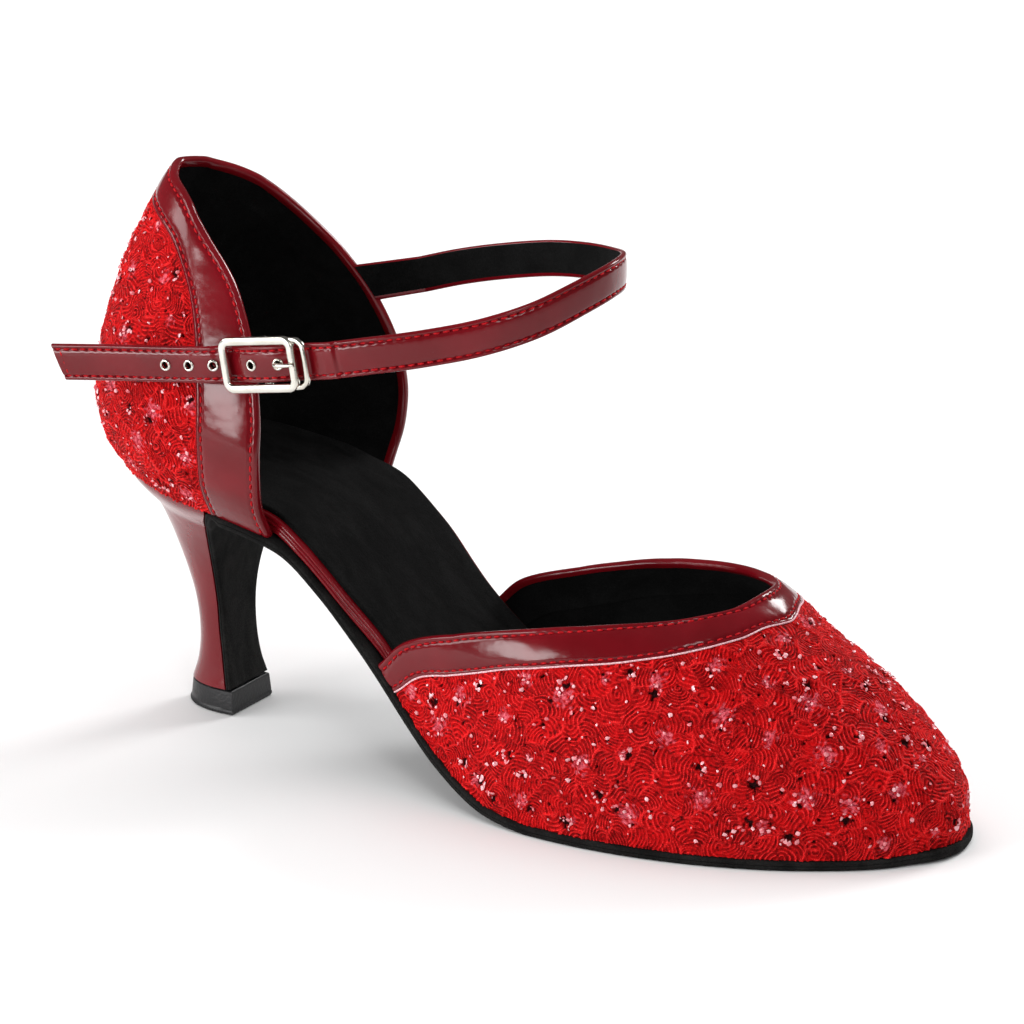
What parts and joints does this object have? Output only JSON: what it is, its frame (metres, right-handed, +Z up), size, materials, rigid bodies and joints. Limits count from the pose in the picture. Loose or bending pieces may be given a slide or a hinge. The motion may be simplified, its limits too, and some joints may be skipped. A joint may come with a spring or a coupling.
{
  "type": "dance shoe",
  "caption": "Right court shoe for dancing with a flared heel, open waists, banded lace toe and heel parts and a buckled ankle strap.",
  "frame": {"origin": "on the floor under the middle of the heel tip", "axes": "+X to the toe, +Y to the inner (medial) side of the right foot, +Z up"},
  "size_m": [0.2309, 0.0817, 0.1358],
  "materials": {
    "outsole": "napped suede",
    "insole_board": "patent, wrapped edge",
    "sock": "napped",
    "vamp": "corded lace with small sequins",
    "vamp_band": "patent",
    "quarter": "corded lace with small sequins",
    "quarter_band": "patent",
    "heel": "patent over a hard heel",
    "top_piece": "hard, matt",
    "strap": "patent",
    "buckle_tab": "patent",
    "buckle_frame": "bright nickel",
    "buckle_prong": "bright nickel",
    "eyelet_1": "bright nickel",
    "eyelet_2": "bright nickel",
    "eyelet_3": "bright nickel",
    "eyelet_4": "bright nickel",
    "eyelet_5": "bright nickel"
  },
  "bodies": {
    "root": {"outsole": "outsole", "insole_board": "insole_board", "sock": "sock", "vamp": "vamp", "vamp_band": "vamp_band", "quarter": "quarter", "quarter_band": "quarter_band", "heel": "heel", "top_piece": "top_piece", "strap": "strap", "buckle_tab": "buckle_tab", "buckle_frame": "buckle_frame", "buckle_prong": "buckle_prong", "eyelet_1": "eyelet_1", "eyelet_2": "eyelet_2", "eyelet_3": "eyelet_3", "eyelet_4": "eyelet_4", "eyelet_5": "eyelet_5"}
  },
  "joints": []
}
